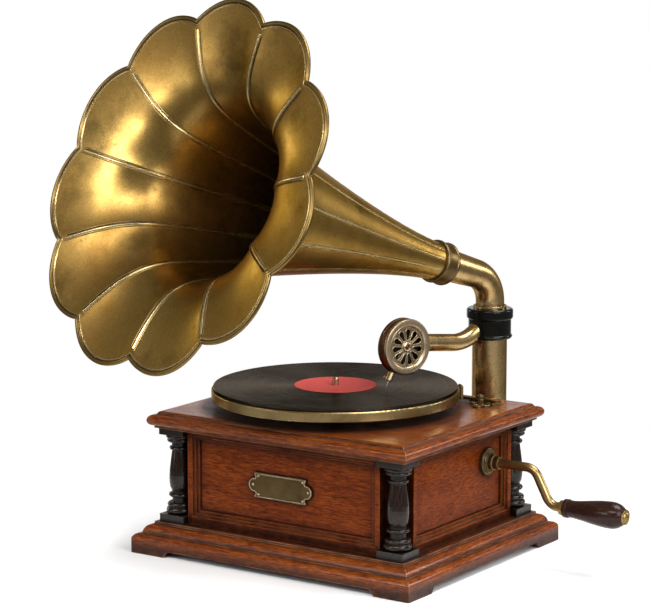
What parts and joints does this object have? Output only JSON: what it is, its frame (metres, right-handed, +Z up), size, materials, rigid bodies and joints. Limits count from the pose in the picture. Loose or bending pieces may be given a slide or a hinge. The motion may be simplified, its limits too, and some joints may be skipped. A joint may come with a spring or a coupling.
{
  "type": "horn gramophone",
  "caption": "Wind-up record player: panelled wooden cabinet with corner columns, a turntable, a swinging tone arm with sound box, a side crank and a large petalled brass horn.",
  "frame": {"origin": "middle of the whole object's box, at the level of the feet", "axes": "+Z up along the spindle, +X towards the crank, +Y towards the pillar at the rear"},
  "size_m": [0.4914, 0.5161, 0.5686],
  "materials": {
    "mahogany": "french-polished red-brown mahogany with fine dark grain",
    "ebonised_wood": "ebonised turned hardwood, satin polish",
    "antique_brass": "aged brass with brown and dark patina, satin",
    "bright_brass": "polished brass",
    "blackened_iron": "blackened iron, semi-gloss",
    "steel": "plain steel",
    "bronzed_shell": "dark red-brown bronzed metal",
    "mica": "mica sheet",
    "gasket_rubber": "red-brown rubber",
    "felt": "wool felt",
    "shellac": "black shellac with fine grooves",
    "label_paper": "red label paper, no print",
    "handle_wood": "dark polished hardwood",
    "pad_leather": "leather brake pad"
  },
  "bodies": {
    "cabinet": {"base_moulding": "mahogany", "bottom_board": "mahogany", "front_frame": "mahogany", "back_frame": "mahogany", "left_frame": "mahogany", "right_frame": "mahogany", "front_panel": "mahogany", "back_panel": "mahogany", "left_panel": "mahogany", "right_panel": "mahogany", "corner_posts": "mahogany", "column_front_left": "ebonised_wood", "column_front_right": "ebonised_wood", "column_back_left": "ebonised_wood", "column_back_right": "ebonised_wood", "column_blocks": "ebonised_wood", "top_board": "mahogany", "name_plate": "antique_brass", "name_plate_pins": "bright_brass", "crank_escutcheon": "antique_brass", "motor_plate": "blackened_iron", "motor_posts": "steel", "lower_plate": "blackened_iron", "motor_bolts": "steel", "spindle_bearing": "bright_brass", "rear_bracket": "blackened_iron", "bracket_screws": "steel", "pillar_tube": "antique_brass", "bearing_sleeve": "bright_brass", "horn_socket_ring": "blackened_iron", "brake_plate": "antique_brass"},
    "arm": {"arm_collar": "blackened_iron", "tone_arm": "antique_brass"},
    "sound_box": {"sound_box_crook": "antique_brass", "sound_box_shell": "bronzed_shell", "sound_box_face": "bright_brass", "sound_box_diaphragm": "mica", "sound_box_gaskets": "gasket_rubber", "stylus_bar": "antique_brass", "needle": "steel"},
    "chuck_screw": {"needle_screw": "bright_brass"},
    "horn": {"horn_bell": "antique_brass", "horn_ferrule": "antique_brass", "horn_elbow": "antique_brass"},
    "turntable": {"platter": "antique_brass", "felt_mat": "felt", "record": "shellac", "record_label": "label_paper", "spindle": "bright_brass", "spindle_wheel": "bright_brass"},
    "intermediate": {"intermediate_gear": "bright_brass"},
    "barrel": {"barrel_drum": "bright_brass", "mainspring": "steel"},
    "regulator": {"governor": "bright_brass"},
    "winding": {"winding_wheel": "steel"},
    "crank": {"crank_rod": "antique_brass", "crank_pinion": "steel"},
    "grip": {"crank_handle": "handle_wood"},
    "brake": {"brake_lever": "antique_brass", "brake_pad": "pad_leather"}
  },
  "joints": [
    {"name": "turntable_spin", "type": "hinge", "parent": "cabinet", "child": "turntable", "pos_m": [-0.06419, 0.07555, 0.1546], "axis": [0, 0, 1], "continuous": true},
    {"name": "intermediate_spin", "type": "hinge", "parent": "cabinet", "child": "intermediate", "pos_m": [-0.03611, 0.08983, 0.1], "axis": [0, 0, 1], "continuous": true},
    {"name": "barrel_spin", "type": "hinge", "parent": "cabinet", "child": "barrel", "pos_m": [-0.02118, 0.13255, 0.0402], "axis": [0, 0, 1], "continuous": true},
    {"name": "governor_spin", "type": "hinge", "parent": "cabinet", "child": "regulator", "pos_m": [-0.09444, 0.07555, 0.112], "axis": [0, 0, 1], "continuous": true},
    {"name": "crank_turn", "type": "hinge", "parent": "cabinet", "child": "crank", "pos_m": [0.08221, 0.13255, 0.096], "axis": [1, 0, 0], "continuous": true},
    {"name": "winding_spin", "type": "hinge", "parent": "cabinet", "child": "winding", "pos_m": [-0.02118, 0.13255, 0.096], "axis": [0, 0, 1], "continuous": true},
    {"name": "handle_spin", "type": "hinge", "parent": "crank", "child": "grip", "pos_m": [0.17398, 0.13255, 0.06], "axis": [1, 0, 0], "continuous": true},
    {"name": "tone_arm_swing", "type": "hinge", "parent": "cabinet", "child": "arm", "pos_m": [0.02482, 0.23355, 0.20335], "axis": [0, 0, 1], "range_deg": [-7.5, 36]},
    {"name": "sound_box_lift", "type": "hinge", "parent": "arm", "child": "sound_box", "pos_m": [-0.0053, 0.15082, 0.20676], "axis": [-0.3402, -0.9347, 0.1028], "range_deg": [0, 80]},
    {"name": "chuck_screw_turn", "type": "hinge", "parent": "sound_box", "child": "chuck_screw", "pos_m": [-0.00296, 0.08238, 0.18074], "axis": [-0.9397, 0.342, 0], "continuous": true},
    {"name": "horn_swivel", "type": "hinge", "parent": "cabinet", "child": "horn", "pos_m": [0.02482, 0.23355, 0.235], "axis": [0, 0, 1], "continuous": true},
    {"name": "brake_swing", "type": "hinge", "parent": "cabinet", "child": "brake", "pos_m": [0.05072, 0.17196, 0.1483], "axis": [0, 0, -1], "range_deg": [0, 20]}
  ],
  "couplings": [
    {"joint": "intermediate_spin", "follows": "turntable_spin", "ratio": -0.25},
    {"joint": "barrel_spin", "follows": "turntable_spin", "ratio": 0.03125},
    {"joint": "governor_spin", "follows": "turntable_spin", "ratio": -5},
    {"joint": "winding_spin", "follows": "crank_turn", "ratio": 0.5}
  ]
}
